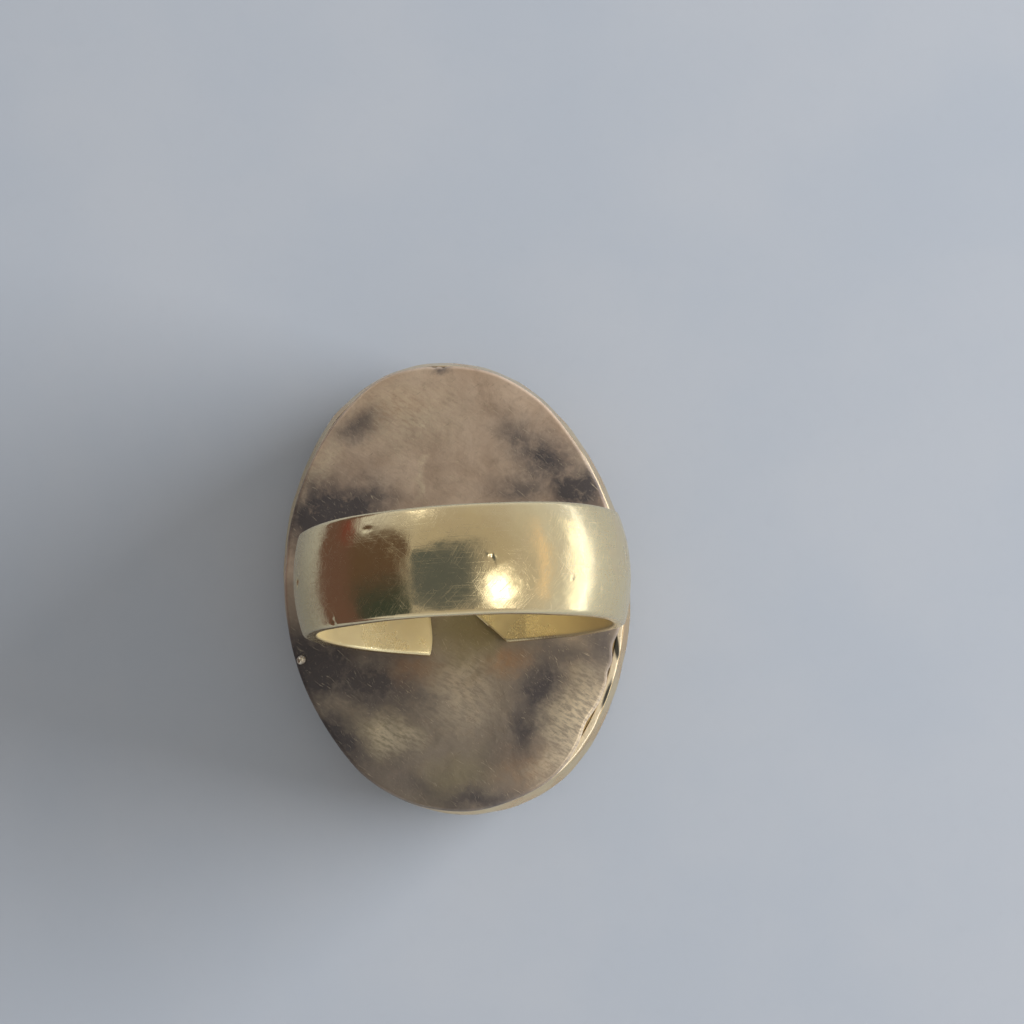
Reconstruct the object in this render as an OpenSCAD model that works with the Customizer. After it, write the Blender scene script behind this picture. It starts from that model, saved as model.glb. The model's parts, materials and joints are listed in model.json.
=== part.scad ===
// Cocktail ring: a wide plain band, cut open and soldered to the closed back
// of a large oval bezel setting. It is drawn lying on its stone, band up.
// Millimetres. The origin is the centre of the finger hole, +Y runs along
// the finger, +Z points to the crown of the band and the stone faces -Z.

/* [Band] */
// Inner diameter of the band, the ring size
finger_d = 18.5; // [15:0.1:22]
// Thickness of the band at its edges
band_edge_t = 0.76; // [0.5:0.02:1.4]
// How far the middle of the band stands above its edges
band_crown = 0.56; // [0.2:0.02:0.9]
// Width of the band on its left side
band_w_left = 6.4; // [4:0.1:9]
// Width of the band on its right side
band_w_right = 6.9; // [4:0.1:9]
// How much is filed off the band where it meets the plate
foot_flat = 0.37; // [0.2:0.01:0.5]
// Left edge of the gap, from the middle of the band
gap_left = 2.05; // [1:0.05:2.5]
// Right edge of the gap at the far side of the band
gap_right_far = 0.7; // [0.5:0.05:2.5]
// Right edge of the gap at the near side, where the end is cut slanting
gap_right_near = 2.6; // [1:0.05:2.65]
// Where the slanting cut starts, from the middle of the band
gap_bend_y = -1.2; // [-2:0.1:1]

/* [Head] */
// Length of the setting at its widest
head_l = 30.6; // [24:0.1:38]
// Width of the setting at its widest
head_w = 23.2; // [18:0.1:30]
// Sideways place of the setting under the band
head_x = -0.23; // [-1:0.01:1]
// Lengthwise place of the setting under the band
head_y = 0.92; // [-2:0.01:2]
// Turn of the setting against the band, in degrees
head_turn = 4.1; // [-8:0.1:8]

/* [Back plate] */
// How far the plate's edge stays inside the setting's widest line
plate_inset = 0.4; // [0.2:0.05:0.8]
// Thickness of the back plate
plate_t = 0.8; // [0.5:0.05:1.5]
// How far the plate slipped sideways on the setting when it was soldered
plate_slip_x = -0.29; // [-0.4:0.01:0.4]
// How far the plate slipped lengthwise
plate_slip_y = -0.21; // [-0.4:0.01:0.4]
// How far the plate twisted on the setting, in degrees
plate_twist = -3.7; // [-4:0.1:4]
// Thickness of the solder between plate and wall
seam_t = 0.12; // [0.06:0.02:0.2]
// How far the solder is drawn in from the wall's outside
seam_recess = 0.06; // [0:0.02:0.15]

/* [Wall] */
// Thickness of the bezel wall
wall_t = 0.45; // [0.3:0.05:0.7]
// How far the wall's top edge stays inside the setting's widest line
top_inset = 0.45; // [0.2:0.05:1]
// Height of the flaring part of the wall
flare_h = 1.2; // [0.8:0.05:2.5]
// Height of the upright part of the wall, beside the stone's edge
upright_h = 0.95; // [0.6:0.05:1.6]
// Outer radius of the lip's bend over the stone
lip_r = 0.9; // [0.7:0.05:1.2]
// Length of the lip past its bend
lip_tail = 0.35; // [0.2:0.05:0.8]

/* [Inside] */
// Width of the strip that the stone sits on
bearing_w = 0.7; // [0.4:0.05:1.2]
// Space between the bearing strip and the wall
bearing_gap = 0.05; // [0.02:0.01:0.1]
// Space round the backing pad
pad_gap = 0.3; // [0.1:0.05:0.6]
// Space between the backing pad and the stone
pad_crush = 0.05; // [0:0.01:0.2]

/* [Stone] */
// Space between the stone's edge and the wall
stone_gap = 0.1; // [0.05:0.01:0.2]
// Space between the stone's bevel and the lip
lip_gap = 0.05; // [0.03:0.01:0.15]
// Height of the stone's straight edge
girdle_h = 1; // [0.6:0.05:1.6]
// Width of the bevel between the stone's edge and its flat table
bevel_w = 2.6; // [2:0.1:5]
// Height of the bevel
bevel_h = 1.5; // [1.2:0.1:2.5]

/* [Solder] */
// How far a foot's solder reaches from the middle of the band
foot_reach = 4.9; // [4.4:0.1:6]
// How far the solder climbs up the band
foot_climb = 0.6; // [0.4:0.05:0.9]
// How far the solder stops short of the band's edges
foot_inset = 0.12; // [0.05:0.01:0.4]
// Radius of the stray bead at the plate's edge
bead_r = 0.42; // [0.2:0.02:0.6]
// Part of the bead's radius that is sunk away flat against the plate
bead_sink = 0.4; // [0.1:0.05:0.6]
// Lengthwise place of the bead on the plate's left edge
bead_y = -4.3; // [-6:0.1:-4]

/* [Hidden] */
$fn = 128;
// thin overlap so that cuts pass right through a surface
cut = 1;

// band, in its own turned frame with the finger axis along Z
finger_r = finger_d / 2;
edge_r = finger_r + band_edge_t;
crown_r = edge_r + band_crown;
band_w_max = max(band_w_left, band_w_right);
crown_arc = (pow(band_w_max / 2, 2) + pow(band_crown, 2)) / (2 * band_crown);
band_slope = (band_w_right - band_w_left) / 2 / (2 * crown_r);
band_half = (band_w_left + band_w_right) / 4;

// levels, from the plate downwards to the stone
plate_z = foot_flat - crown_r;
seam_z = plate_z - plate_t;
wall_z = seam_z - seam_t;
seat_z = wall_z - flare_h;
bend_z = seat_z - upright_h;
girdle_z = seat_z - girdle_h;

// four-centre ovals on 3-4-5 triangles: the end arcs and side arcs meet in
// line, as the line between two arc centres runs 3 along and 4 across
function end_centre(w, l) = 3 * (l - w) / 4;
function side_centre(w, l) = l - w;
join_x = 4 / 5;
join_y = 3 / 5;
end_c = end_centre(head_w, head_l);
side_c = side_centre(head_w, head_l);
end_r = head_l / 2 - end_c;
side_r = head_w / 2 + side_c;

// the plate has an oval of its own, slipped and twisted against the setting's
plate_l = head_l - 2 * plate_inset;
plate_w = head_w - 2 * plate_inset;

// distances outwards from the setting's widest line, so most are negative
top_u = -top_inset;
stone_u = -wall_t - stone_gap;
bearing_top_u = top_u - wall_t - bearing_gap;
bearing_seat_u = -wall_t - bearing_gap;
tail_u = -lip_r - lip_tail;

table_u = stone_u - bevel_w;
// the stone's middle is a slab that reaches this far into its swept edge
core_u = table_u - 1;

// the lip's end clears the bevel under it
table_z = girdle_z - bevel_h;
tail_z = girdle_z - (stone_u - tail_u) * bevel_h / bevel_w - lip_gap;

// ---- shapes that several pieces use ----

// Places its children in the setting's own turned and shifted frame
module in_head() {
    translate([head_x, head_y, 0]) rotate([0, 0, head_turn]) children();
}

// Places its children in the plate's own turned and shifted frame
module on_plate() {
    translate([head_x + plate_slip_x, head_y + plate_slip_y, 0])
        rotate([0, 0, head_turn + plate_twist]) children();
}

// Flat oval of width w and length l
module oval(w, l) {
    end_y = end_centre(w, l);
    side_x = side_centre(w, l);
    reach = w / 2 + side_x;
    intersection() {
        translate([-side_x, 0]) circle(r = reach);
        translate([side_x, 0]) circle(r = reach);
        square([2 * w, 2 * reach * join_y], center = true);
    }
    for (s = [-1, 1]) translate([0, s * end_y]) circle(r = l / 2 - end_y);
}

// Oval slab between two levels, u outside the setting's widest line
module head_slab(u, low, high) {
    translate([0, 0, low]) linear_extrude(height = high - low) oval(head_w + 2 * u, head_l + 2 * u);
}

// Keeps one sector of a sweep: from two arc centres out along the joins
module sector(points) {
    intersection() {
        children();
        linear_extrude(height = 4 * head_l, center = true) polygon(points);
    }
}

// Sweeps a profile, drawn as [distance outwards, level], round the oval
module oval_sweep() {
    far_x = 2 * head_l * join_x;
    far_y = end_c + 2 * head_l * join_y;
    for (s = [-1, 1]) {
        sector([[0, s * end_c], [far_x, s * far_y], [-far_x, s * far_y]])
            translate([0, s * end_c, 0]) rotate_extrude() translate([end_r, 0]) children();
        sector([[0, end_c], [s * far_x, far_y], [s * far_x, -far_y], [0, -end_c]])
            translate([-s * side_c, 0, 0]) rotate_extrude() translate([side_r, 0]) children();
    }
}

// Space outside a slanting side of the band, s = 1 far and -1 near
module outside_edge(s) {
    far_y = 2 * band_w_max;
    linear_extrude(height = 4 * crown_r, center = true) polygon([
        [-2 * crown_r, s * (band_half - band_slope * 2 * crown_r)],
        [2 * crown_r, s * (band_half + band_slope * 2 * crown_r)],
        [2 * crown_r, s * far_y],
        [-2 * crown_r, s * far_y]
    ]);
}

// The whole band filled to its axis: low domed outside, no finger hole
module band_envelope() {
    difference() {
        rotate([90, 0, 0]) rotate_extrude($fn = 360) intersection() {
            translate([crown_r - crown_arc, 0]) circle(r = crown_arc);
            translate([0, -band_w_max / 2]) square([crown_r, band_w_max]);
        }
        for (s = [-1, 1]) outside_edge(s);
    }
}

// Everything below the plate's back face
module below_plate() {
    translate([0, 0, plate_z - crown_r]) cube([4 * crown_r, 4 * crown_r, 2 * crown_r], center = true);
}

// Solder under one foot, s = -1 left and 1 right, from_x at the cut end
module foot_solder(s, from_x) {
    difference() {
        rotate([90, 0, 0])
            linear_extrude(height = band_w_left - 2 * foot_inset, center = true)
                polygon([
                    [s * from_x, plate_z],
                    [s * foot_reach, plate_z],
                    [s * (foot_reach - foot_climb), plate_z + foot_climb],
                    [s * from_x, plate_z + foot_climb]
                ]);
        band_envelope();
    }
}

// ---- the pieces ----

// D-section band with the finger hole, open over the plate
module shank() {
    color("goldenrod") difference() {
        band_envelope();
        rotate([90, 0, 0]) cylinder(r = finger_r, h = 2 * band_w_max, center = true);
        below_plate();
        translate([0, 0, -crown_r - cut]) linear_extrude(height = crown_r) polygon([
            [-gap_left, -band_w_max],
            [gap_right_near, -band_w_max],
            [gap_right_near, -band_half],
            [gap_right_far, gap_bend_y],
            [gap_right_far, band_w_max],
            [-gap_left, band_w_max]
        ]);
    }
}

// Closed back of the setting
module back_plate() {
    color("tan") on_plate() translate([0, 0, seam_z])
        linear_extrude(height = plate_t) oval(plate_w, plate_l);
}

// Solder between the plate and the top of the wall
module plate_seam() {
    color("dimgray") in_head() oval_sweep()
        polygon([
            [top_u - wall_t, wall_z],
            [top_u - seam_recess, wall_z],
            [top_u - seam_recess, seam_z],
            [top_u - wall_t, seam_z]
        ]);
}

// Flaring wall whose lip is pressed over the stone's shoulder
module bezel_wall() {
    color("darkgoldenrod") in_head() oval_sweep() {
        polygon([
            [top_u - wall_t, wall_z],
            [top_u, wall_z],
            [0, seat_z],
            [0, bend_z],
            [-wall_t, bend_z],
            [-wall_t, seat_z]
        ]);
        intersection() {
            translate([-lip_r, bend_z]) difference() {
                circle(r = lip_r);
                circle(r = lip_r - wall_t);
            }
            translate([-lip_r, bend_z - lip_r]) square([lip_r, lip_r]);
        }
        polygon([
            [-lip_r, bend_z - lip_r],
            [-lip_r, bend_z - lip_r + wall_t],
            [tail_u, tail_z],
            [tail_u, bend_z - lip_r]
        ]);
    }
}

// Inner strip, soldered into the wall, that the stone sits on
module bearing_strip() {
    color("peru") in_head() oval_sweep()
        polygon([
            [bearing_top_u, seam_z],
            [bearing_top_u - bearing_w, seam_z],
            [bearing_top_u - bearing_w, seat_z],
            [bearing_seat_u, seat_z],
            [bearing_top_u, wall_z]
        ]);
}

// Card pad that fills the space between plate and stone
module backing_pad() {
    color("dimgray") in_head()
        head_slab(bearing_top_u - bearing_w - pad_gap, seat_z + pad_crush, seam_z);
}

// Oval tablet, flat back up, with a broad bevel round its flat table
module stone() {
    color("darkslateblue") in_head() {
        oval_sweep() polygon([
            [core_u, seat_z],
            [stone_u, seat_z],
            [stone_u, girdle_z],
            [table_u, table_z],
            [core_u, table_z]
        ]);
        head_slab((core_u + table_u) / 2, table_z, seat_z);
    }
}

module left_foot_solder() {
    color("silver") foot_solder(-1, gap_left);
}

module right_foot_solder() {
    color("silver") foot_solder(1, gap_right_near);
}

// Stray bead of solder on the plate's left edge
module edge_bead() {
    plate_side_c = side_centre(plate_w, plate_l);
    edge_x = plate_side_c - sqrt(pow(plate_w / 2 + plate_side_c, 2) - bead_y * bead_y);
    color("silver") on_plate() difference() {
        translate([edge_x + bead_r, bead_y, plate_z - bead_sink * bead_r]) sphere(r = bead_r);
        translate([edge_x + bead_r, bead_y, plate_z - 2 * bead_r]) cube(4 * bead_r, center = true);
    }
}

shank();
back_plate();
plate_seam();
bezel_wall();
bearing_strip();
backing_pad();
stone();
left_foot_solder();
right_foot_solder();
edge_bead();
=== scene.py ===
"""Cocktail ring lying on its stone, band up.

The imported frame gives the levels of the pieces. Every visible piece is a skin of points worked
out with numpy in millimetres, in the frame's own axes: +Y along the finger, +Z to the crown.
"""
import json
import math

import bpy
import numpy as np
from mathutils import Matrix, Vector


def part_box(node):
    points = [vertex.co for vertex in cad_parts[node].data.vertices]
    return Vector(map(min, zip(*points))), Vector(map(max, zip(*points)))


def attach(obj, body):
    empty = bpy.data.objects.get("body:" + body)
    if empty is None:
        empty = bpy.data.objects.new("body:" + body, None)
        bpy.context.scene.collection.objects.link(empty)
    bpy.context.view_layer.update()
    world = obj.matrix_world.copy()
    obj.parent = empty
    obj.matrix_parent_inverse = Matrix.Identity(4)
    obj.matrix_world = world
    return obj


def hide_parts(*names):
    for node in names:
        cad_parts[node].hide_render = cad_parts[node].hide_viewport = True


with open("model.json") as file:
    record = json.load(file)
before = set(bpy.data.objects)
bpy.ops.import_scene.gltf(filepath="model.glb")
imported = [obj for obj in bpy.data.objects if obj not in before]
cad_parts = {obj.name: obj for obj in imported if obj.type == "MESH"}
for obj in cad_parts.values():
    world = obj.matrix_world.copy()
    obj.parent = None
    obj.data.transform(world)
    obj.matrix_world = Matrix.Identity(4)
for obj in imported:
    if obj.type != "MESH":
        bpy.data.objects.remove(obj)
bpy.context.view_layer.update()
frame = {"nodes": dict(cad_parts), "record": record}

MM = 0.001
UV_MM = 100  # a texture's running lengths are written in this many millimetres


def level(node, high):
    """Height of a node's top (high = 1) or underside (high = 0), in millimetres."""
    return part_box(node)[high].z / MM


# ---- sizes, in millimetres, as in the construction ----

FINGER_R = frame["record"]["mounts"][0]["dims"]["r_mm"]
EDGE_T = 0.76
CROWN = 0.56
EDGE_R = FINGER_R + EDGE_T
CROWN_R = EDGE_R + CROWN
BAND_W_LEFT = 6.4
BAND_W_RIGHT = 6.9
GAP_LEFT = 2.05
GAP_RIGHT_FAR = 0.7
GAP_RIGHT_NEAR = 2.6
GAP_BEND_Y = -1.2
FOOT_REACH = 4.9

HEAD_W, HEAD_L = 23.2, 30.6
HEAD_PLACE = (-0.23, 0.92, 4.1)
PLATE_W, PLATE_L = 22.4, 29.8
PLATE_PLACE = (-0.52, 0.71, 0.4)
TOP_INSET = 0.45
WALL_T = 0.45
LIP_R = 0.9
LIP_TAIL = 0.35
STONE_GAP = 0.1
BEVEL_W = 2.6
GIRDLE_H = 1.0

# ---- sizes that only the eye needs: rounding and wear ----

INNER_EDGE_R, OUTER_EDGE_R = 0.10, 0.17
SPLAY = 0.68
FACET_FROM, FACET_TO = math.pi - 0.455, math.pi - 0.15
PLATE_EDGE_TOP_R, PLATE_EDGE_LOW_R = 0.24, 0.12
PLATE_EDGE_DROP = 0.10
STONE_BACK_R, STONE_GIRDLE_R, STONE_TABLE_R = 0.12, 0.15, 2.2
TIP_R = 0.01
BAND_END_R, SOLDER_END_R = 0.07, 0.02
LEFT_CORNER_BACK, RIGHT_CORNER_BACK = 0.35, 0.25
BAND_WIDTH_WAVER, BAND_FACE_WAVER = 0.035, 0.018
PLATE_WAVER, SEAM_WAVER = 0.03, 0.05
WALL_WAVER, WALL_RIPPLE, LIP_RAGGED = 0.035, 0.02, 0.05
SOLDER_CLEAR = 0.004
WALL_MEAN_R = 13.4

# ---- levels of the pieces, read from the frame ----

PLATE_TOP = level("back_plate", 1)
PLATE_UNDER = level("back_plate", 0)
WALL_TOP = level("bezel_wall", 1)
LIP_LOW = level("bezel_wall", 0)
SEAT = level("stone", 1)
TABLE = level("stone", 0)
GIRDLE_LOW = SEAT - GIRDLE_H
BEND = LIP_LOW + LIP_R


# ---- shapes ----

def skin(name, points, round_v=False, uv=None):
    """Closed skin over a grid of points, in millimetres, that always closes round its first
    direction. It also closes round the second one, or else gets a fan of triangles to a middle
    point at each end. Faces are turned so that the enclosed volume is positive. uv gives the
    running lengths in both directions, which a texture can follow."""
    n, m = points.shape[:2]
    index = np.arange(n * m).reshape(n, m)
    ring = np.vstack([index, index[:1]])
    if round_v:
        ring = np.hstack([ring, ring[:, :1]])
    quads = np.stack([ring[:-1, :-1], ring[1:, :-1], ring[1:, 1:], ring[:-1, 1:]], -1)
    i, j = np.meshgrid(np.arange(ring.shape[0] - 1), np.arange(ring.shape[1] - 1), indexing="ij")
    corner_u = np.stack([i, i + 1, i + 1, i], -1).reshape(-1)
    corner_v = np.stack([j, j, j + 1, j + 1], -1).reshape(-1)
    quads = quads.reshape(-1, 4)
    co = points.reshape(-1, 3)
    fans = np.zeros((0, 3), int)
    if not round_v:
        middle = np.array([points[:, 0].mean(0), points[:, -1].mean(0)])
        co = np.vstack([co, middle])
        step = np.arange(n)
        after = (step + 1) % n
        first = np.stack([index[after, 0], index[step, 0], np.full(n, n * m)], -1)
        last = np.stack([index[step, -1], index[after, -1], np.full(n, n * m + 1)], -1)
        fans = np.vstack([first, last])
    tri = np.vstack([quads[:, :3], quads[:, [0, 2, 3]], fans])
    volume = np.einsum("ij,ij->i", co[tri[:, 0]], np.cross(co[tri[:, 1]], co[tri[:, 2]])).sum()
    if volume < 0:
        quads, fans = quads[:, ::-1], fans[:, ::-1]
        corner_u = corner_u.reshape(-1, 4)[:, ::-1].reshape(-1)
        corner_v = corner_v.reshape(-1, 4)[:, ::-1].reshape(-1)
    mesh = bpy.data.meshes.new(name)
    mesh.vertices.add(len(co))
    mesh.vertices.foreach_set("co", (co * MM).reshape(-1))
    loops = np.concatenate([quads.reshape(-1), fans.reshape(-1)])
    mesh.loops.add(len(loops))
    mesh.loops.foreach_set("vertex_index", loops)
    sizes = np.concatenate([np.full(len(quads), 4), np.full(len(fans), 3)])
    mesh.polygons.add(len(sizes))
    mesh.polygons.foreach_set("loop_start", np.concatenate([[0], np.cumsum(sizes)[:-1]]))
    mesh.polygons.foreach_set("use_smooth", np.ones(len(sizes), bool))
    mesh.update(calc_edges=True)
    if uv is not None:
        layer = mesh.uv_layers.new(name="along")
        flat = np.zeros((len(loops), 2))
        flat[:len(corner_u), 0] = uv[0][corner_u]
        flat[:len(corner_v), 1] = uv[1][corner_v]
        layer.data.foreach_set("uv", flat.reshape(-1))
    mesh.validate()
    obj = bpy.data.objects.new(name, mesh)
    bpy.context.scene.collection.objects.link(obj)
    return obj


def oval_line(width, length, n):
    """A four-centre oval on 3-4-5 triangles, as n points evenly spaced along it. Each point is
    its arc's centre plus the arc's radius times a direction. Gives centres, radii, directions."""
    end_y, side_x = 0.75 * (length - width), length - width
    end_r, side_r = length / 2 - end_y, width / 2 + side_x
    join = math.atan2(3, 4)
    turns = np.array([-join, join, math.pi - join, math.pi + join, 2 * math.pi - join])
    radii = np.array([side_r, end_r, side_r, end_r])
    centres = np.array([[-side_x, 0], [0, end_y], [side_x, 0], [0, -end_y]])
    run = np.concatenate([[0], np.cumsum(radii * np.diff(turns))])
    s = np.linspace(0, run[-1], n, endpoint=False)
    arc = np.searchsorted(run, s, side="right") - 1
    a = np.interp(s, run, turns)
    return centres[arc], radii[arc], np.stack([np.cos(a), np.sin(a)], -1)


def placed(xy, place):
    """Turns flat points by place's third value, in degrees, and shifts them by its first two."""
    c, s = math.cos(math.radians(place[2])), math.sin(math.radians(place[2]))
    return np.stack([xy[..., 0] * c - xy[..., 1] * s + place[0],
                     xy[..., 0] * s + xy[..., 1] * c + place[1]], -1)


def swept(line, profile, place):
    """Carries a profile of [distance outwards, level] pairs round an oval line."""
    centres, radii, way = line
    out = centres[:, None] + (radii[:, None] + profile[..., 0])[..., None] * way[:, None]
    z = np.broadcast_to(profile[..., 1], out.shape[:2])
    return np.concatenate([placed(out, place), z[..., None]], -1)


def disc(ring, middle, shares):
    """Rings that fill a flat face: the outer ring drawn in towards the middle to each share of
    its size, at its own level."""
    inner = middle + (ring[:, None, :2] - middle) * shares[:, None]
    z = np.broadcast_to(ring[:, None, 2:], inner.shape[:2] + (1,))
    return np.concatenate([inner, z], -1)


def uneven(t, size, turns, shift=0.0):
    """A slow waver: the mean of sines of t, one for each number of turns, times size."""
    return size * sum(np.sin(k * t + shift + 1.7 * k * k) for k in turns) / len(turns)


def rounded(corners, radii, steps=6):
    """Closed outline through corners, each replaced by an arc of its radius: the arc's points
    go from one tangent point to the other, turned about the corner's circle centre."""
    pts = np.array(corners, float)
    made = []
    for k, r in enumerate(radii):
        p, a, b = pts[k], pts[k - 1], pts[(k + 1) % len(pts)]
        u, v = (a - p) / np.linalg.norm(a - p), (b - p) / np.linalg.norm(b - p)
        half = math.acos(np.clip(u @ v, -1, 1)) / 2
        centre = p + (u + v) / np.linalg.norm(u + v) * r / math.sin(half)
        p0, p1 = p + u * r / math.tan(half), p + v * r / math.tan(half)
        w = np.linspace(0, 1, steps)[:, None]
        chord = p0 * (1 - w) + p1 * w - centre
        made.append(centre + chord / np.linalg.norm(chord, axis=1)[:, None] * r)
    return np.vstack(made)


def spread(outline, n, closed=True):
    """The same outline as n points evenly spaced along it, and its running length."""
    pts = np.vstack([outline, outline[:1]]) if closed else outline
    run = np.concatenate([[0], np.cumsum(np.linalg.norm(np.diff(pts, axis=0), axis=1))])
    s = np.linspace(0, run[-1], n, endpoint=not closed)
    return np.stack([np.interp(s, run, pts[:, k]) for k in range(2)], -1), run[-1]


# ---- the band ----

def dome(y, half):
    """Rise of the low domed outside over its edge: the height of a circle arc of the crown's
    radius at y, less its height at the edge."""
    widest = max(BAND_W_LEFT, BAND_W_RIGHT) / 2
    arc = (widest ** 2 + CROWN ** 2) / (2 * CROWN)
    return CROWN - arc + np.sqrt(arc ** 2 - np.minimum(np.abs(y), half) ** 2)


def band():
    """D-section carried round the finger hole. A section point has a place across the band and
    a height between the flat inside (0) and the edge (EDGE_T), to which the dome is added in
    proportion. Its radius and its turn from the crown give its place; the turn runs between
    the two cut ends, whose lines give the first and last turn of each point."""
    n_section, n_round = 132, 620
    half0 = (BAND_W_LEFT + BAND_W_RIGHT) / 4
    section, around = spread(rounded(
        [(-half0, 0), (half0, 0), (half0, EDGE_T), (-half0, EDGE_T)],
        [INNER_EDGE_R, INNER_EDGE_R, OUTER_EDGE_R, OUTER_EDGE_R], 9), n_section)
    y0, q0 = section[:, :1], section[:, 1:]

    t = np.linspace(0, 1, n_round)[None]
    # the ends: left cut square with its near corner splayed, right cut slanting at the near side
    corner = np.clip((-y0 - 2.2) / 1.3, 0, 1) ** 2
    left_x = -GAP_LEFT - LEFT_CORNER_BACK * corner + 0.05 * np.sin(1.3 * y0)
    slant = np.clip((GAP_BEND_Y - y0) / (half0 + GAP_BEND_Y), 0, 1)
    right_x = GAP_RIGHT_FAR + (GAP_RIGHT_NEAR + RIGHT_CORNER_BACK - GAP_RIGHT_FAR) * slant
    base_r = FINGER_R + q0
    start = np.arcsin(left_x / base_r) + math.pi
    stop = np.arcsin(right_x / base_r) - math.pi
    turn = -start * (1 - t) - stop * t
    half = half0 + (BAND_W_RIGHT - BAND_W_LEFT) / 4 * np.sin(turn)
    half = half + uneven(turn, BAND_WIDTH_WAVER, (3, 5, 8), 0.4)
    y = y0 / half0 * half
    # towards its left end the near edge is spread outwards over the plate
    splay = np.clip((-turn - 1.7) / 1.2, 0, 1) ** 1.3
    y = y - SPLAY * splay * np.clip(-y / half0, 0, 1) ** 2
    r = base_r + dome(y, half0) * q0 / EDGE_T
    # wear: flatter patches, a flat facet inside the right foot, and the nicks
    r = r + uneven(turn, BAND_FACE_WAVER, (4, 7, 11), 1.0) * q0 / EDGE_T
    mid, span = (FACET_FROM + FACET_TO) / 2, (FACET_TO - FACET_FROM) / 2
    chord = FINGER_R * math.cos(span) / np.cos(np.clip(turn - mid, -span, span))
    flattened = np.abs(turn - mid) < span
    r = r - np.where(flattened, FINGER_R - chord, 0) * (1 - q0 / EDGE_T)
    r = r + nicks(turn, y, q0)
    x, z = r * np.sin(turn), r * np.cos(turn)
    points = round_ends(np.stack([x, y, np.maximum(z, PLATE_TOP)], -1), BAND_END_R, 5)
    run_u = np.linspace(0, around, n_section + 1) / UV_MM
    run_v = np.linspace(0, 2 * math.pi * CROWN_R, points.shape[1]) / UV_MM
    return skin("band", points, uv=(run_u, run_v))


def nicks(turn, y, q):
    """Small damage on the outside: each nick lowers or lifts the surface by its depth times a
    bell curve of the distance from it, longer one way than the other."""
    made = 0
    outside = np.clip((q - 0.5) / 0.2, 0, 1)
    for degrees, at_y, depth, long_y, long_t in NICKS:
        dt = (turn - math.radians(degrees)) * CROWN_R
        made = made + depth * np.exp(-(dt / long_t) ** 2 - ((y - at_y) / long_y) ** 2)
    return made * outside


# turn from the crown in degrees, place across, depth, size across and size along the band
NICKS = [
    (9.2, -0.05, -0.09, 0.11, 0.09), (8.4, 0.16, 0.05, 0.09, 0.11),
    (10.2, 0.12, 0.04, 0.08, 0.10), (9.9, -0.30, -0.02, 0.20, 0.07),
    (-76.0, -0.05, -0.14, 0.30, 0.12), (-74.6, 0.05, -0.10, 0.12, 0.22),
    (38.5, -1.30, -0.05, 0.08, 0.08), (-52.0, -2.95, -0.10, 0.14, 0.16),
    (-50.2, -2.85, 0.06, 0.22, 0.07), (-33.0, 2.25, -0.05, 0.10, 0.25),
    (52.5, -1.75, -0.03, 0.30, 0.06), (-22.0, 0.9, -0.03, 0.5, 0.5),
    (31.0, 1.5, -0.02, 0.9, 0.6), (-8.0, -2.0, -0.015, 0.8, 0.8),
    (20.0, -1.0, -0.02, 0.7, 0.6),
]


def round_ends(points, r, steps):
    """Rounds both ends of a skin: the end's ring is drawn in to its middle along a quarter
    circle of radius r, in steps. The ends are first moved in by r, so the length stays."""
    made = points.copy()
    caps = []
    for end, beside in ((0, 1), (-1, -2)):
        ring = points[:, end]
        middle = ring.mean(0)
        out = middle - points[:, beside].mean(0)
        out = out / np.linalg.norm(out)
        away = ring - middle
        reach = np.linalg.norm(away, axis=1)[:, None]
        made[:, end] -= out * r
        caps.append(np.stack([
            middle + away * (1 - r / reach * (1 - math.cos(a))) - out * r * (1 - math.sin(a))
            for a in np.linspace(0, math.pi / 2, steps + 1)[1:]], 1))
    return np.concatenate([caps[0][:, ::-1], made, caps[1]], 1)


# ---- the closed back ----

# how the plate's edge was filed: direction from +X and half-width in degrees, depth inwards
EDGE_NOTCHES = [(-14.5, 2.6, 0.28), (-20.0, 1.6, 0.16), (-31.5, 3.2, 0.26), (88.5, 1.0, 0.16),
                (92.0, 1.4, 0.10), (172.0, 3.0, 0.06), (112.0, 15.0, -0.22), (-50.0, 13.0, -0.16),
                (-5.0, 5.0, -0.12)]


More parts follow.
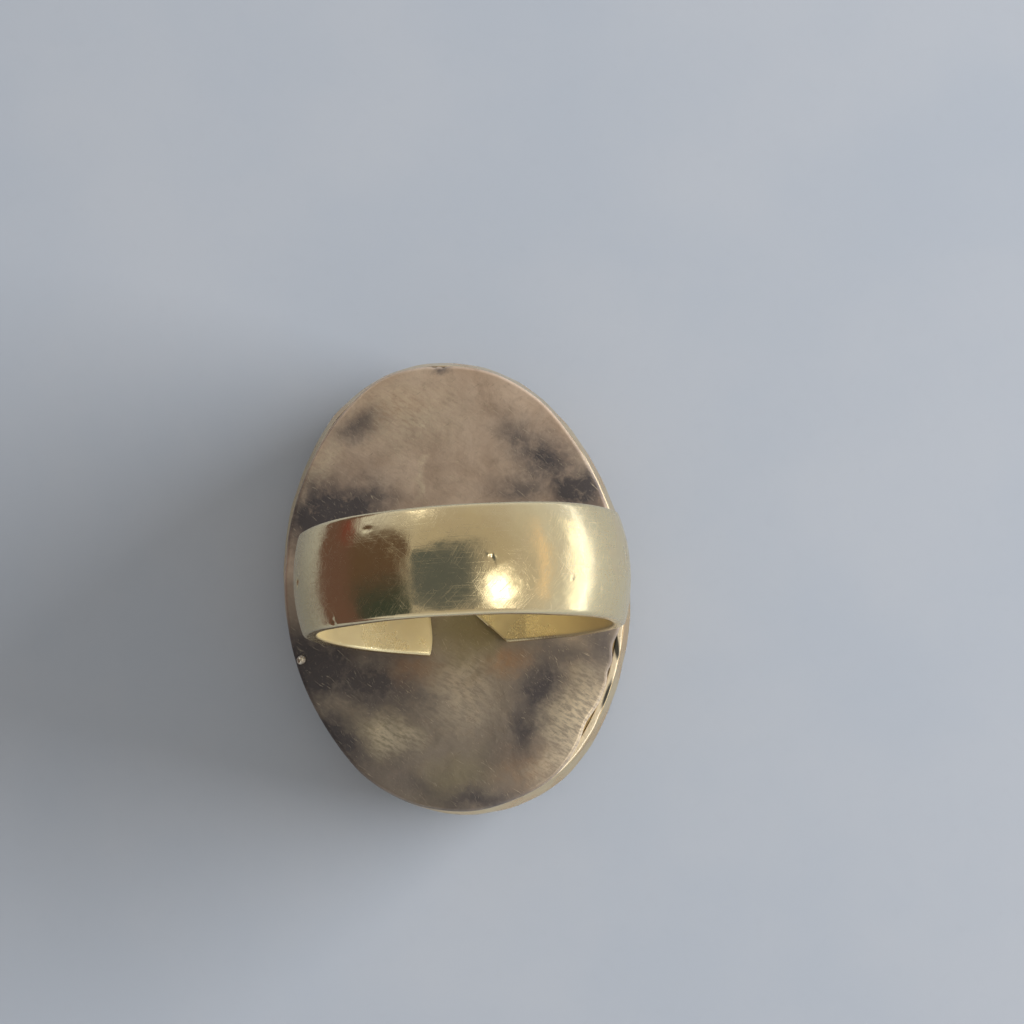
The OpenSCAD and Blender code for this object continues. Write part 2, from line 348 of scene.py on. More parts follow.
def plate():
    """Oval slab: rings drawn from the middle of the top out to the edge, round it and back to
    the middle of the underside. Inside the edge a ring is the edge line scaled down. The top
    wavers slightly and is worn lower towards its edge."""
    n = 480
    line = oval_line(PLATE_W, PLATE_L, n)
    way = np.arctan2(line[2][:, 1], line[2][:, 0])
    inset = np.zeros(n)
    for at, wide, depth in EDGE_NOTCHES:
        off = np.degrees(np.angle(np.exp(1j * (way - math.radians(at)))))
        inset = inset + depth * np.exp(-(off / wide) ** 2)
    inset = inset + PLATE_WAVER + uneven(way, PLATE_WAVER, (5, 9, 14), 0.3)
    side = rounded([(-1.6, PLATE_TOP), (0, PLATE_TOP), (0, PLATE_UNDER), (-1.6, PLATE_UNDER)],
                   [TIP_R, PLATE_EDGE_TOP_R, PLATE_EDGE_LOW_R, TIP_R], 10)
    edge, _ = spread(side[10:30], 44, closed=False)
    profile = np.broadcast_to(edge, (n,) + edge.shape).copy()
    profile[..., 0] -= inset[:, None]
    rim = swept(line, profile, PLATE_PLACE)
    middle = np.array(PLATE_PLACE[:2])
    shares = np.sin(np.linspace(0.02, 1, 90, endpoint=False) * math.pi / 2)
    points = np.concatenate([disc(rim[:, 0], middle, shares), rim,
                             disc(rim[:, -1], middle, shares[::-6])], 1)
    x, y, z = points[..., 0], points[..., 1], points[..., 2]
    upper = np.clip((z - PLATE_UNDER) / (PLATE_TOP - PLATE_UNDER), 0, 1)
    reach = np.hypot((x - middle[0]) / PLATE_W, (y - middle[1]) / PLATE_L) * 2
    wave = 0.010 * np.sin(0.55 * x + 0.35 * y) + 0.008 * np.sin(0.9 * y - 0.5 * x + 1) - 0.02
    wave = wave - PLATE_EDGE_DROP * np.clip((reach - 0.80) / 0.20, 0, 1) ** 2
    z += upper * wave
    return skin("plate", points)


def seam():
    """Line of solder between plate and wall, lumpy where it has been squeezed out."""
    n = 480
    line = oval_line(HEAD_W, HEAD_L, n)
    t = np.linspace(0, 2 * math.pi, n, endpoint=False)
    out, _ = spread(rounded([(-TOP_INSET - WALL_T, WALL_TOP), (-TOP_INSET, WALL_TOP),
                             (-TOP_INSET, PLATE_UNDER), (-TOP_INSET - WALL_T, PLATE_UNDER)],
                            [0.02, 0.05, 0.05, 0.02], 4), 24)
    profile = np.broadcast_to(out, (n,) + out.shape).copy()
    outer = np.clip((profile[..., 0] + TOP_INSET + WALL_T / 2) / (WALL_T / 2), 0, 1)
    lumps = uneven(t, SEAM_WAVER, (11, 17, 31, 44), 0.5) - SEAM_WAVER
    profile[..., 0] += outer * lumps[:, None]
    return skin("seam", swept(line, profile, HEAD_PLACE), round_v=True)


def wall():
    """Bezel wall: outside up the flare, inside down to the lip, carried round the oval. The
    outside wavers where it was rubbed over, and the lip's edge is slightly ragged."""
    n = 600
    line = oval_line(HEAD_W, HEAD_L, n)
    t = np.linspace(0, 2 * math.pi, n, endpoint=False)
    bend_out = [(-LIP_R + LIP_R * math.cos(a), BEND + LIP_R * math.sin(a))
                for a in np.linspace(0, -math.pi / 2, 12)]
    inner_r = LIP_R - WALL_T
    bend_in = [(-LIP_R + inner_r * math.cos(a), BEND + inner_r * math.sin(a))
               for a in np.linspace(-math.pi / 2, 0, 8)]
    tail_u = -LIP_R - LIP_TAIL
    outline = [(-TOP_INSET - WALL_T + 0.05, WALL_TOP), (-TOP_INSET - 0.08, WALL_TOP),
               (-TOP_INSET, WALL_TOP - 0.05), (-0.03, SEAT + 0.06), (0, SEAT - 0.08), *bend_out,
               (tail_u + 0.08, LIP_LOW + 0.01), (tail_u, LIP_LOW + 0.10),
               (tail_u + 0.03, LIP_LOW + 0.30), *bend_in, (-WALL_T, SEAT),
               (-TOP_INSET - WALL_T, WALL_TOP - 0.05)]
    n_out = 76
    out, around = spread(np.array(outline), n_out)
    profile = np.broadcast_to(out, (n,) + out.shape).copy()
    outer = np.clip((profile[..., 0] + WALL_T) / WALL_T, 0, 1)
    waver = uneven(t, WALL_WAVER, (4, 7, 13), 0.9) + uneven(t, WALL_RIPPLE, (23, 37), 0.2)
    waver = waver - WALL_WAVER
    profile[..., 0] += outer * waver[:, None]
    ragged = np.clip((-LIP_R - profile[..., 0]) / LIP_TAIL, 0, 1)
    worn = LIP_RAGGED + uneven(t, LIP_RAGGED, (19, 29, 41), 0.1)
    profile[..., 0] += ragged * worn[:, None]
    length = 2 * math.pi * WALL_MEAN_R
    run_u = np.linspace(0, length, n + 1) / UV_MM
    run_v = np.linspace(0, around, n_out + 1) / UV_MM
    return skin("wall", swept(line, profile, HEAD_PLACE), round_v=True, uv=(run_u, run_v))


def tablet():
    """The stone: flat back, straight edge, broad bevel and flat table, as one profile from the
    middle of the back round to the middle of the table, with softened corners."""
    n = 360
    line = oval_line(HEAD_W, HEAD_L, n)
    u = -WALL_T - STONE_GAP
    inner = u - BEVEL_W
    side = rounded([(inner - 1.5, SEAT), (u, SEAT), (u, GIRDLE_LOW), (inner, TABLE),
                    (inner - 1.5, TABLE)],
                   [TIP_R, STONE_BACK_R, STONE_GIRDLE_R, STONE_TABLE_R, TIP_R], 14)
    edge, _ = spread(side[14:56], 80, closed=False)
    rim = swept(line, edge[None], HEAD_PLACE)
    middle = np.array(HEAD_PLACE[:2])
    shares = np.linspace(0.02, 1, 30, endpoint=False)
    points = np.concatenate([disc(rim[:, 0], middle, shares), rim,
                             disc(rim[:, -1], middle, shares[::-1])], 1)
    return skin("tablet", points)


# ---- solder ----

def foot_solder(name, side, from_x):
    """Fillet that fills the wedge between plate and band at one foot. Its section, across the
    ring, follows the plate, then a hollow curve up to the band, then the band's outside."""
    half = (BAND_W_LEFT - 0.24) / 2
    y = np.linspace(-half, half, 70)[None]
    k = np.linspace(0, 1, 30)[:, None]
    thin = 1 - np.abs(y / half) ** 5
    reach = FOOT_REACH - 1.15 + 0.95 * thin + uneven(y, 0.14, (1, 2, 3), side)
    top_x = FOOT_REACH - 1.25 + 0.55 * thin + uneven(y, 0.08, (2, 4), side)
    outer_r = EDGE_R + dome(y, half) - SOLDER_CLEAR
    top_z = -np.sqrt(outer_r ** 2 - top_x ** 2)
    floor_x = from_x + (reach - from_x) * k
    hollow_x = reach + (top_x - reach) * k
    hollow_z = PLATE_TOP + (top_z - PLATE_TOP) * k ** 2.2
    back_x = top_x + (from_x - top_x) * k
    back_z = np.maximum(-np.sqrt(outer_r ** 2 - back_x ** 2), PLATE_TOP + SOLDER_CLEAR)
    x = np.concatenate([floor_x, hollow_x[1:], back_x[1:]])
    z = np.concatenate([0 * floor_x + PLATE_TOP - 0.01, hollow_z[1:], back_z[1:]])
    points = np.stack([side * x, 0 * x + y, z], -1)
    return skin(name, round_ends(points[:-1], SOLDER_END_R, 3))


def bead():
    """Stray bead: two lumps run together, a ball stretched along the plate's edge whose radius
    swells and shrinks with the angle round it."""
    lo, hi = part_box("edge_bead")
    low, high = np.array(lo) / MM, np.array(hi) / MM
    middle, half = (low + high) / 2, (high - low) / 2
    a = np.linspace(0, 2 * math.pi, 48, endpoint=False)[:, None]
    b = np.linspace(0.03, math.pi - 0.03, 32)[None]
    lump = 1 + 0.10 * np.sin(2 * a + 1) * np.sin(b) + 0.06 * np.sin(5 * a) * np.sin(2 * b)
    x = middle[0] + (half[0] - 0.10) * lump * np.cos(a) * np.sin(b)
    y = middle[1] + (half[1] - 0.04) * lump * np.sin(a) * np.sin(b)
    z = low[2] + (half[2] * 2 - 0.03) * np.maximum(np.cos(b), -0.25) * lump
    return skin("bead", np.stack([x, y, z + 0 * a], -1))


# ---- colours, as linear red, green and blue ----

# gold of the band
GOLD = (0.92, 0.77, 0.46)
DEEP_GOLD = (0.88, 0.73, 0.45)
DULL_GOLD = (0.82, 0.65, 0.40)
TARNISHED_GOLD = (0.62, 0.50, 0.27)
INNER_GOLD = (0.93, 0.80, 0.47)
# brown of the painted shade over the inside's right half, and of tarnish patches inside
INNER_SHADE_AND_TARNISH_BROWN = (0.66, 0.54, 0.33)

# the plate
TAN = (0.60, 0.445, 0.33)
PALE_TAN = (0.725, 0.57, 0.44)
# grey of the painted dark reflection over the plate's near half
DARK_REFLECTION_TAN = (0.27, 0.235, 0.195)
MOTTLED_BROWN = (0.40, 0.30, 0.225)
OLIVE = (0.36, 0.31, 0.17)
COPPER = (0.48, 0.27, 0.14)
# tan of rubbed patches, and of painted highlights along the plate's upper rim
RUBBED_AND_SHEEN_TAN = (0.86, 0.72, 0.52)
PURPLE_BLACK = (0.086, 0.075, 0.076)
SCRATCH_LIGHT = (0.80, 0.68, 0.50)
SCRATCH_DARK = (0.20, 0.15, 0.11)

# wall, seam and solder
WALL_GOLD = (0.93, 0.75, 0.46)
WALL_RED_GOLD = (0.86, 0.62, 0.36)
WALL_SMEAR = (0.62, 0.42, 0.24)
SEAM_OXIDE = (0.20, 0.15, 0.10)
# pale gilt of the painted highlight on the seam's lit side
SEAM_LIT_GILT = (0.95, 0.82, 0.60)
SEAM_CRACK = (0.070, 0.068, 0.056)
SOLDER_HOLLOW = (0.42, 0.36, 0.28)
SOLDER_PALE = (0.80, 0.72, 0.58)

# strip, pad and stone
BRASS_DARK = (0.42, 0.30, 0.15)
BRASS_LIGHT = (0.66, 0.50, 0.26)
PAD_DARK = (0.08, 0.075, 0.07)
PAD_LIGHT = (0.15, 0.14, 0.13)
ONYX_BLACK = (0.006, 0.006, 0.008)
ONYX_BAND = (0.022, 0.021, 0.023)
ONYX_CLOUD = (0.02, 0.018, 0.02)

# ground and sky
GROUND = (0.440, 0.490, 0.570)
GROUND_PALE = (0.470, 0.512, 0.582)
GROUND_FLECK = (0.40, 0.43, 0.50)
SKY_LOW = (0.66, 0.70, 0.77)
SKY_OVERHEAD = (0.42, 0.38, 0.32)


# ---- finishes ----

# a spot fades to nothing at its half-sizes times these, and at this height off the plate's top
SPREAD_X, SPREAD_Y = 1.55, 1.7
SPOT_DEPTH = 6


class Finish:
    """A material, with short names for the nodes that the finishes share. Patterns are in
    millimetres on the object's own coordinates, or along the piece."""

    def __init__(self, name, **fixed):
        self.material = bpy.data.materials.new(name)
        self.material.use_nodes = True
        self.tree = self.material.node_tree
        self.shader = self.tree.nodes["Principled BSDF"]
        for key, value in fixed.items():
            self.socket(key).default_value = value

    def socket(self, key):
        """The shader's socket with this name: base_color is Base Color, and so on."""
        return self.shader.inputs[key.replace("_", " ").title().replace("Ior", "IOR")]

    def add(self, kind, inputs, **settings):
        """Adds a node; each input is a socket to link or a value to set."""
        node = self.tree.nodes.new(kind)
        for key, value in settings.items():
            setattr(node, key, value)
        for key, value in inputs.items():
            if isinstance(value, bpy.types.NodeSocket):
                self.tree.links.new(value, node.inputs[key])
            else:
                node.inputs[key].default_value = value
        return node

    def place(self, scale=(1, 1, 1), turn=0.0, along=False, warp=None):
        """Coordinates in millimetres, turned in the plane and scaled; warp pushes them about."""
        source = self.add("ShaderNodeTexCoord", {}).outputs["UV" if along else "Object"]
        if warp is not None:
            source = self.add("ShaderNodeVectorMath", {0: source, 1: warp}, operation="ADD").outputs[0]
        unit = UV_MM if along else 1 / MM
        flat = self.add("ShaderNodeMapping", {"Vector": source, "Rotation": (0, 0, math.radians(turn))})
        size = [unit * k for k in scale]
        return self.add("ShaderNodeMapping", {"Vector": flat.outputs[0], "Scale": size}).outputs[0]

    def push(self, at, scale, amount):
        """A small offset that wanders over the piece, for place(). amount is in millimetres,
        or in tenths of one along the piece."""
        cloud = self.add("ShaderNodeTexNoise", {"Vector": at, "Scale": scale, "Detail": 3.0})
        middle = self.add("ShaderNodeVectorMath", {0: cloud.outputs["Color"], 1: (0.5, 0.5, 0.5)},
                          operation="SUBTRACT")
        return self.add("ShaderNodeVectorMath", {0: middle.outputs[0], "Scale": amount * MM},
                        operation="SCALE").outputs[0]

    def noise(self, at, scale, detail=3.0, rough=0.55, bend=0.0):
        """Cloudy pattern about 0.5, of scale features to the millimetre."""
        return self.add("ShaderNodeTexNoise", {"Vector": at, "Scale": scale, "Detail": detail,
                                               "Roughness": rough, "Distortion": bend}).outputs["Fac"]

    def steps(self, value, low, high, to_low=0.0, to_high=1.0):
        """Smooth step from to_low at low to to_high at high."""
        return self.add("ShaderNodeMapRange", {"Value": value, "From Min": low, "From Max": high,
                                               "To Min": to_low, "To Max": to_high},
                        interpolation_type="SMOOTHSTEP").outputs[0]

    def math(self, operation, a, b=0.0, clamp=False):
        """One sum on sockets or values, kept within 0 and 1 if clamp is set."""
        return self.add("ShaderNodeMath", {0: a, 1: b}, operation=operation, use_clamp=clamp).outputs[0]

    def mix(self, share, a, b):
        """Colour a where share is 0 and colour b where it is 1."""
        node = self.add("ShaderNodeMix", {"Factor": share}, data_type="RGBA")
        for key, value in ((6, a), (7, b)):
            if isinstance(value, bpy.types.NodeSocket):
                self.tree.links.new(value, node.inputs[key])
            else:
                node.inputs[key].default_value = (*value, 1.0)
        return node.outputs[2]

    def scratches(self, turn, length, width, amount, along=False, bend=0.0):
        """Thin broken lines: noise drawn out lengthwise, of which only the peaks are kept."""
        warp = self.push(self.place((0.25, 0.25, 0.25), along=along), 1.0, bend) if bend else None
        at = self.place((1 / length, 1 / width, 1 / width), turn, along, warp)
        return self.steps(self.noise(at, 1.0, 2.0, 0.6), 0.66 - 0.08 * amount, 0.74 - 0.08 * amount)

    def spot(self, x, y, wide, tall, turn, at):
        """Soft oval patch of 1 that fades to 0 at its outline, at a place in millimetres."""
        node = self.add("ShaderNodeMapping", {
            "Vector": at, "Location": (x * MM, y * MM, PLATE_TOP * MM),
            "Rotation": (0, 0, math.radians(turn)),
            "Scale": (wide * SPREAD_X * MM, tall * SPREAD_Y * MM, SPOT_DEPTH * MM)},
            vector_type="TEXTURE")
        ball = self.add("ShaderNodeTexGradient", {"Vector": node.outputs[0]}, gradient_type="SPHERICAL")
        return self.steps(ball.outputs["Fac"], 0.0, 1.0)

    def spots(self, patches, at):
        """The strongest of several patches at each point, each with its own strength."""
        total = None
        for x, y, wide, tall, turn, strength in patches:
            one = self.math("MULTIPLY", self.spot(x, y, wide, tall, turn, at), strength)
            total = one if total is None else self.math("MAXIMUM", total, one)
        return total

    def relief(self, height, depth, under=None):
        """Bump of the given depth in millimetres, on top of another one."""
        inputs = {"Height": height, "Distance": depth * MM, "Strength": 1.0}
        if under is not None:
            inputs["Normal"] = under
        return self.add("ShaderNodeBump", inputs).outputs[0]

    def finish(self, **sockets):
        """Links patterns to the shader's sockets and gives the material."""
        for key, value in sockets.items():
            self.tree.links.new(value, self.socket(key))
        return self.material


def worn_gold():
    """Yellow gold polish, dulled by wear: pale and greenish where it is rubbed, warmer inside,
    browned there by tarnish and painted shade, with fine scratches in every direction and
    rougher patches."""
    f = Finish("worn gold", metallic=1.0)
    at = f.place()
    cloud = f.noise(at, 0.35, 4.0)
    fine = f.noise(at, 2.2, 4.0, 0.6)
    colour = f.mix(f.steps(cloud, 0.35, 0.7), GOLD, DEEP_GOLD)
    colour = f.mix(f.steps(fine, 0.5, 0.75, 0.0, 0.25), colour, DULL_GOLD)
    # the parts near the plate hold more tarnish
    depth = f.add("ShaderNodeSeparateXYZ", {0: at}).outputs
    near_plate = f.steps(depth[2], -4.0, PLATE_TOP, 0.0, 0.45)
    patchy = f.math("MULTIPLY", near_plate, f.steps(fine, 0.25, 0.65))
    colour = f.mix(patchy, colour, TARNISHED_GOLD)
    cross = f.scratches(90, 2.6, 0.05, 0.5, along=True, bend=0.6)
    slant = f.scratches(32, 1.8, 0.045, 0.6, along=True, bend=0.8)
    other = f.scratches(-48, 1.4, 0.045, 0.5, along=True, bend=0.8)
    lines = f.math("MAXIMUM", f.math("MAXIMUM", cross, slant), other)
    speck = f.steps(f.noise(at, 9.0, 2.0), 0.60, 0.72)
    hole = f.add("ShaderNodeVectorMath", {0: f.place((1, 0, 1))}, operation="LENGTH").outputs["Value"]
    inside = f.steps(hole, FINGER_R + 0.12, FINGER_R + 0.02)
    colour = f.mix(inside, colour, INNER_GOLD)
    # painted shade: the inside's right half, which faces away from the daylight, is browned; tarnish
    # adds brown patches over the whole inside
    shade_and_tarnish = f.math("MULTIPLY", f.steps(depth[0], 0.5, 2.5), 0.75)
    shade_and_tarnish = f.math("MAXIMUM", shade_and_tarnish, f.math("MULTIPLY", f.steps(cloud, 0.35, 0.75), 0.3))
    colour = f.mix(f.math("MULTIPLY", inside, shade_and_tarnish), colour, INNER_SHADE_AND_TARNISH_BROWN)
    right = f.steps(depth[0], 5.5, 8.5)
    left = f.steps(depth[0], -8.0, -9.3)
    rubbed = f.math("MAXIMUM", right, left)
    rough = f.math("ADD", f.steps(cloud, 0.3, 0.7, 0.11, 0.19), f.math("MULTIPLY", lines, 0.12))
    rough = f.math("ADD", rough, f.math("MULTIPLY", rubbed, 0.10))
    rough = f.math("ADD", rough, f.math("MULTIPLY", speck, 0.06))
    rough = f.math("ADD", rough, f.math("MULTIPLY", inside, 0.12))
    dents = f.relief(f.noise(at, 0.45, 2.0), 0.05)
    brushed = f.noise(f.place((0.7, 3.0, 1), 15, along=True), 3.0, 3.0, 0.6)
    ripple = f.relief(f.noise(at, 1.6, 3.0), 0.008, dents)
    grain = f.relief(brushed, 0.0036, ripple)
    marks = f.relief(lines, -0.0010, grain)
    metal = f.math("SUBTRACT", 1.0, f.math("MULTIPLY", inside, 0.17))
    return f.finish(base_color=colour, roughness=rough, metallic=metal, normal=marks)


# stains on the plate, and painted highlights along its rim: place x, y, half-sizes, turn in degrees,
# strength
DARK_STAINS = [
    (6.2, 8.8, 3.4, 1.9, -42, 0.9), (8.0, 6.8, 3.4, 1.9, -20, 0.98), (4.4, 7.0, 2.8, 1.2, 5, 0.75),
    (4.6, 10.4, 2.2, 1.3, -40, 0.75), (-6.2, 11.7, 2.1, 0.9, 28, 0.75), (-8.2, 6.0, 4.4, 2.4, 8, 1.15),
    (-5.6, 6.9, 2.4, 1.1, 0, 0.8), (-9.8, -4.2, 4.2, 2.6, -15, 1.15), (-6.5, -5.4, 4.0, 2.1, -12, 1.0),
    (-3.0, -6.4, 2.4, 1.0, -20, 0.6), (4.9, -6.2, 1.4, 3.2, -22, 0.95), (3.7, -8.8, 1.2, 2.0, -10, 0.85),
    (6.8, -4.2, 3.0, 0.9, 0, 0.6), (0.3, -13.4, 3.4, 0.9, 0, 0.85), (-3.4, -12.6, 2.8, 0.9, -20, 0.6),
    (-8.6, -8.8, 3.8, 1.3, -52, 0.95), (-5.0, -6.8, 3.0, 1.0, -20, 0.6),
    (-0.5, 15.3, 0.7, 0.35, -15, 0.7), (9.3, -3.6, 1.4, 1.6, 0, 0.7),
    (2.0, -10.5, 2.4, 0.8, 30, 0.35), (-4.6, -10.8, 2.4, 1.0, 30, 0.45),
]
# lighter rubbed patches; the thin ones at (-8.9, 9.0) and (8.6, 9.4), along the upper left and right
# rim, are painted highlights of the rounded edge
RUBBED_PATCHES_AND_EDGE_SHEEN = [
    (7.2, -8.2, 2.6, 2.9, -25, 0.9), (-5.2, -9.0, 2.4, 1.3, -20, 0.7), (-0.6, -6.4, 2.6, 2.4, 10, 0.45),
    (-3.0, 12.4, 4.0, 2.4, 0, 0.55), (-8.9, 9.0, 0.8, 2.6, -32, 0.6), (8.6, 9.4, 0.7, 3.2, 26, 0.6),
    (8.9, 7.3, 1.0, 1.2, 0, 0.5), (-1.8, 11.8, 0.4, 0.8, -20, 0.9), (-2.2, 8.2, 0.25, 1.6, -20, 0.6),
    (5.5, -11.0, 2.2, 1.0, 38, 0.55), (-9.0, -6.6, 1.6, 1.0, 0, 0.35),
]
COPPER_STAINS = [
    (3.0, -4.5, 1.6, 0.8, 0, 0.7), (-4.0, -4.7, 1.8, 0.9, 0, 0.7), (-3.5, 12.9, 2.6, 0.9, 10, 0.4),
    (3.6, -11.4, 2.2, 1.4, 20, 0.35), (9.4, -12.0, 2.0, 2.0, 0, 0.3),
]
OLIVE_STAINS = [
    (0.4, -2.0, 3.0, 2.4, 0, 1.0), (-1.0, -12.0, 3.0, 1.4, 20, 0.45), (-5.6, -8.8, 2.6, 1.6, -20, 0.5),
]


def tarnished_back():
    """Tarnished back plate: tan metal under brown and purple-grey stains with torn, cloudy
    edges, rubbed lighter in patches, and brushed with fine slanting scratches. Painted highlights
    of the rounded edge lie along its upper left and right rim, and a painted dark reflection
    greys its near half."""
    f = Finish("tarnished back")
    plain = f.place()
    warp = f.push(plain, 0.55, 1.9)
    torn = f.push(f.place(warp=warp), 2.6, 0.7)
    pushed = f.add("ShaderNodeVectorMath", {0: warp, 1: torn}, operation="ADD").outputs[0]
    here = f.add("ShaderNodeTexCoord", {}).outputs["Object"]
    spots_at = f.add("ShaderNodeVectorMath", {0: here, 1: pushed}, operation="ADD").outputs[0]
    cloud = f.noise(plain, 0.30, 5.0, 0.6, 0.4)
    mottle = f.noise(plain, 1.4, 5.0, 0.65, 0.3)
    fleck = f.noise(f.place((0.5, 1.6, 1), 35), 3.2, 4.0, 0.7)
    brushed = f.noise(f.place((0.5, 6.0, 1), 38), 1.0, 3.0, 0.6)

    def stains_and_sheen(patches, pattern, low, high, weakest, strongest):
        """The patches, made weaker and stronger by a pattern between two of its levels."""
        broken = f.steps(pattern, low, high, weakest, strongest)
        return f.math("MULTIPLY", f.spots(patches, spots_at), broken, True)

    dark = stains_and_sheen(DARK_STAINS, mottle, 0.22, 0.55, 0.68, 1.15)
    light = stains_and_sheen(RUBBED_PATCHES_AND_EDGE_SHEEN, fleck, 0.36, 0.60, 0.25, 1.1)
    copper = stains_and_sheen(COPPER_STAINS, mottle, 0.3, 0.6, 0.4, 1.0)
    olive = stains_and_sheen(OLIVE_STAINS, cloud, 0.2, 0.6, 0.6, 1.0)
    lower = f.add("ShaderNodeSeparateXYZ", {0: plain}).outputs[1]
    # painted dark reflection: the plate is greyed over its near half, towards -Y, standing in for the
    # dark overhead mirrored there
    dark_reflection = f.steps(lower, 3.0, -3.0, 0.0, 0.78)

    colour = f.mix(f.steps(cloud, 0.32, 0.68), TAN, PALE_TAN)
    colour = f.mix(dark_reflection, colour, DARK_REFLECTION_TAN)
    colour = f.mix(f.steps(mottle, 0.45, 0.8, 0.0, 0.5), colour, MOTTLED_BROWN)
    colour = f.mix(olive, colour, OLIVE)
    colour = f.mix(copper, colour, COPPER)
    # lighter rubbed patches, and painted highlights along the upper rim
    colour = f.mix(light, colour, RUBBED_AND_SHEEN_TAN)
    colour = f.mix(dark, colour, PURPLE_BLACK)
    long_lines = f.scratches(40, 2.4, 0.06, 0.3, bend=1.2)
    short_lines = f.scratches(68, 1.6, 0.05, 0.1, bend=1.2)
    bright_lines = f.math("MAXIMUM", long_lines, short_lines)
    bright_lines = f.math("MULTIPLY", bright_lines, f.steps(mottle, 0.4, 0.65, 0.1, 0.75))
    colour = f.mix(bright_lines, colour, SCRATCH_LIGHT)
    dark_lines = f.scratches(-35, 1.8, 0.05, 0.2, bend=1.0)
    colour = f.mix(f.math("MULTIPLY", dark_lines, 0.5), colour, SCRATCH_DARK)

    metal = f.math("SUBTRACT", 0.76, f.math("MULTIPLY", dark, 0.3))
    rough = f.math("ADD", f.steps(cloud, 0.3, 0.7, 0.30, 0.42), f.math("MULTIPLY", dark, 0.10))
    rough = f.math("SUBTRACT", rough, f.math("MULTIPLY", bright_lines, 0.08))
    swell = f.relief(cloud, 0.05)
    grain = f.relief(brushed, 0.004, swell)
    pits = f.relief(f.noise(plain, 7.0, 3.0), 0.0025, grain)
    marks = f.relief(f.math("MAXIMUM", bright_lines, dark_lines), -0.002, pits)
    return f.finish(base_color=colour, roughness=rough, metallic=metal, normal=marks)


def wall_gold():
    """The same gold on the wall, redder and duller, smeared along its length by rubbing."""
    f = Finish("rubbed wall gold", metallic=1.0)
    at = f.place()
    cloud = f.noise(at, 0.5, 4.0)
    streak = f.noise(f.place((0.15, 2.2, 1), 0, along=True), 1.0, 4.0, 0.6)
    colour = f.mix(f.steps(cloud, 0.35, 0.7), WALL_GOLD, WALL_RED_GOLD)
    colour = f.mix(f.steps(streak, 0.5, 0.8, 0.0, 0.5), colour, WALL_SMEAR)
    rough = f.math("ADD", f.steps(cloud, 0.3, 0.7, 0.18, 0.30), f.steps(streak, 0.5, 0.8, 0.0, 0.1))
    dents = f.relief(f.noise(at, 0.8, 2.0), 0.03)
    grain = f.relief(streak, 0.004, dents)
    return f.finish(base_color=colour, roughness=rough, normal=grain)


# where the solder has cracked open, in the same columns as the plate's stains
SEAM_CRACKS = [(10.08, -3.5, 0.20, 1.25, 5, 1.0), (9.30, -7.0, 0.18, 1.15, -23, 0.8)]


def solder_seam():
    """Old solder line: pale gilt on its lower right, a painted highlight where the daylight falls, black
    oxide elsewhere.
    """
    f = Finish("solder seam")
    at = f.place()
    grain = f.noise(at, 4.0, 4.0, 0.65)
    side = f.add("ShaderNodeSeparateXYZ", {0: at}).outputs
    across = f.math("SUBTRACT", side[0], f.math("MULTIPLY", side[1], 0.6))
    # painted highlight: towards the lower right, the side the daylight lights, the seam turns pale gilt,
    # broken up by the grain
    lit_side = f.math("MULTIPLY", f.steps(across, 2.0, 6.0), f.steps(grain, 0.26, 0.36), True)
    colour = f.mix(lit_side, SEAM_OXIDE, SEAM_LIT_GILT)
    cracks = f.spots(SEAM_CRACKS, f.add("ShaderNodeTexCoord", {}).outputs["Object"])
    colour = f.mix(f.steps(cracks, 0.05, 0.60), colour, SEAM_CRACK)
    rough = f.steps(lit_side, 0.0, 1.0, 0.6, 0.4)
    metal = f.math("MULTIPLY", lit_side, 0.6)
    return f.finish(base_color=colour, roughness=rough, metallic=metal, normal=f.relief(grain, 0.02))


def pale_solder():
    """Silvery solder, satin and lumpy, greyer in its hollows."""
    f = Finish("pale solder", metallic=1.0)
    at = f.place()
    grain = f.noise(at, 2.6, 4.0, 0.6)
    pits = f.noise(at, 9.0, 2.0)
    colour = f.mix(f.steps(grain, 0.35, 0.65), SOLDER_HOLLOW, SOLDER_PALE)
    rough = f.steps(grain, 0.3, 0.7, 0.45, 0.28)
    return f.finish(base_color=colour, roughness=rough,
                    normal=f.relief(pits, 0.006, f.relief(grain, 0.03)))


def raw_brass():
    """Unpolished strip inside the wall, with file marks."""
    f = Finish("raw brass", metallic=1.0)
    at = f.place()
    marks = f.noise(f.place((1, 1, 9)), 1.6, 3.0)
    colour = f.mix(f.steps(f.noise(at, 1.2), 0.35, 0.65), BRASS_DARK, BRASS_LIGHT)
    return f.finish(base_color=colour, roughness=f.steps(marks, 0.3, 0.7, 0.35, 0.55),
                    normal=f.relief(marks, 0.006))


def grey_card():
    """Matt card behind the stone, with a felted fibre."""
    f = Finish("grey card", specular_ior_level=0.2)
    fibre = f.noise(f.place((3, 9, 9), 20), 1.0, 4.0, 0.7)
    colour = f.mix(f.steps(fibre, 0.3, 0.7), PAD_DARK, PAD_LIGHT)
    return f.finish(base_color=colour, roughness=f.steps(fibre, 0.3, 0.7, 0.8, 0.95),
                    normal=f.relief(fibre, 0.02))


